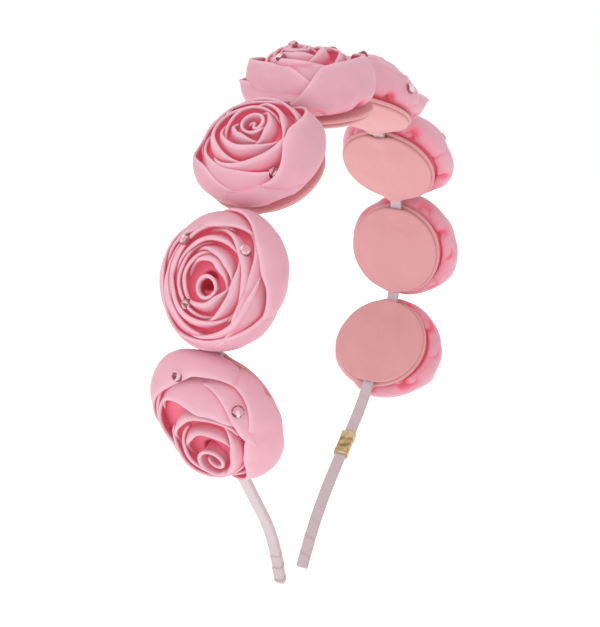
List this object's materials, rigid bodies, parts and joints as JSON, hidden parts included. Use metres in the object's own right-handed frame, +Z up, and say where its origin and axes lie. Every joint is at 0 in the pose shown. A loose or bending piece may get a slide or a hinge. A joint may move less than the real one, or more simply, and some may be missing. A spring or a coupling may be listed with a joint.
{
  "type": "flower crown headband",
  "caption": "Slim ribbon-wrapped sprung headband carrying a row of rolled satin roses on felt discs, with small sewn crystals and a folded metal tag on one leg.",
  "frame": {"origin": "middle of the band's inner face at the crown of the head, on the band's mirror plane", "axes": "+X from ear to ear, towards the leg that carries the tag; +Y across the band's width, level; +Z up, away from the head"},
  "size_m": [0.1505, 0.0346, 0.1528],
  "materials": {
    "satin": "satin",
    "felt": "matte",
    "ribbon_wrap": "satin",
    "spring_band": "satin",
    "tag": "gloss",
    "crystal": "gloss"
  },
  "bodies": {
    "crown": {"band_crown": "spring_band", "ribbon_crown": "ribbon_wrap", "backing_disc_4": "felt", "base_disc_4": "felt", "rose_4": "satin", "crystal_4a": "crystal", "crystal_4b": "crystal", "crystal_4c": "crystal", "backing_disc_5": "felt", "base_disc_5": "felt", "rose_5": "satin", "crystal_5a": "crystal", "crystal_5b": "crystal", "crystal_5c": "crystal"},
    "left_upper": {"band_left_upper": "spring_band", "ribbon_left_upper": "ribbon_wrap", "backing_disc_3": "felt", "base_disc_3": "felt", "rose_3": "satin", "crystal_3a": "crystal", "crystal_3b": "crystal", "crystal_3c": "crystal"},
    "left_lower": {"band_left_lower": "spring_band", "ribbon_left_lower": "ribbon_wrap", "backing_disc_1": "felt", "base_disc_1": "felt", "rose_1": "satin", "crystal_1a": "crystal", "crystal_1b": "crystal", "crystal_1c": "crystal", "backing_disc_2": "felt", "base_disc_2": "felt", "rose_2": "satin", "crystal_2a": "crystal", "crystal_2b": "crystal", "crystal_2c": "crystal"},
    "right_upper": {"band_right_upper": "spring_band", "ribbon_right_upper": "ribbon_wrap", "backing_disc_6": "felt", "base_disc_6": "felt", "rose_6": "satin", "crystal_6a": "crystal", "crystal_6b": "crystal", "crystal_6c": "crystal"},
    "right_lower": {"band_right_lower": "spring_band", "ribbon_right_lower": "ribbon_wrap", "tag": "tag", "backing_disc_7": "felt", "base_disc_7": "felt", "rose_7": "satin", "crystal_7a": "crystal", "crystal_7b": "crystal", "crystal_7c": "crystal", "backing_disc_8": "felt", "base_disc_8": "felt", "rose_8": "satin", "crystal_8a": "crystal", "crystal_8b": "crystal", "crystal_8c": "crystal"}
  },
  "joints": [
    {"name": "left_upper_flex", "type": "hinge", "parent": "crown", "child": "left_upper", "pos_m": [-0.03064, 0, -0.00801], "axis": [0, 1, 0], "range_deg": [0, 12], "stiffness_Nm_per_rad": 0.7},
    {"name": "left_lower_flex", "type": "hinge", "parent": "left_upper", "child": "left_lower", "pos_m": [-0.05377, 0, -0.03004], "axis": [0, 1, 0], "range_deg": [0, 10], "stiffness_Nm_per_rad": 0.7},
    {"name": "right_upper_flex", "type": "hinge", "parent": "crown", "child": "right_upper", "pos_m": [0.03064, 0, -0.00801], "axis": [0, -1, 0], "range_deg": [0, 12], "stiffness_Nm_per_rad": 0.7},
    {"name": "right_lower_flex", "type": "hinge", "parent": "right_upper", "child": "right_lower", "pos_m": [0.05377, 0, -0.03004], "axis": [0, -1, 0], "range_deg": [0, 10], "stiffness_Nm_per_rad": 0.7}
  ],
  "couplings": [
    {"joint": "left_lower_flex", "follows": "left_upper_flex", "ratio": 0.8333},
    {"joint": "right_lower_flex", "follows": "right_upper_flex", "ratio": 0.8333}
  ]
}
